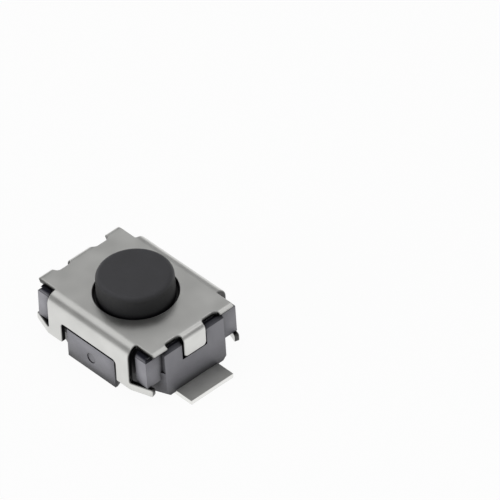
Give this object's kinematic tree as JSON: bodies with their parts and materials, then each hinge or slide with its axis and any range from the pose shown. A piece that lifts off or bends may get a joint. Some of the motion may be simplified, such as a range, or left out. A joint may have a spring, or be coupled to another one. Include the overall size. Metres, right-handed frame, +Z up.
{
  "type": "tactile push button switch",
  "caption": "Surface-mount tactile push switch: round black button in a stamped steel cover on a moulded base, with flat solder terminals at both ends.",
  "frame": {"origin": "middle of the part on the plane of its solder faces", "axes": "+Z up along the button's travel, X along the two terminals, Y across the cover's side walls"},
  "size_m": [0.0048, 0.003, 0.0021],
  "materials": {
    "base_plastic": "moulded, satin, black with a faint violet cast",
    "cover_steel": "satin rolled stainless sheet",
    "button_plastic": "matte charcoal",
    "dome_steel": "bright spring steel",
    "terminal_plate": "silver-plated brass sheet"
  },
  "bodies": {
    "housing": {"base": "base_plastic", "cover": "cover_steel", "contact_dome": "dome_steel", "centre_terminal": "terminal_plate", "ring_terminal": "terminal_plate"},
    "button": {"button": "button_plastic"}
  },
  "joints": [
    {"name": "button_press", "type": "slide", "parent": "housing", "child": "button", "axis": [0, 0, -1], "range_m": [0, 0.00025], "stiffness_N_per_m": 6400, "deforming": ["contact_dome"]}
  ]
}
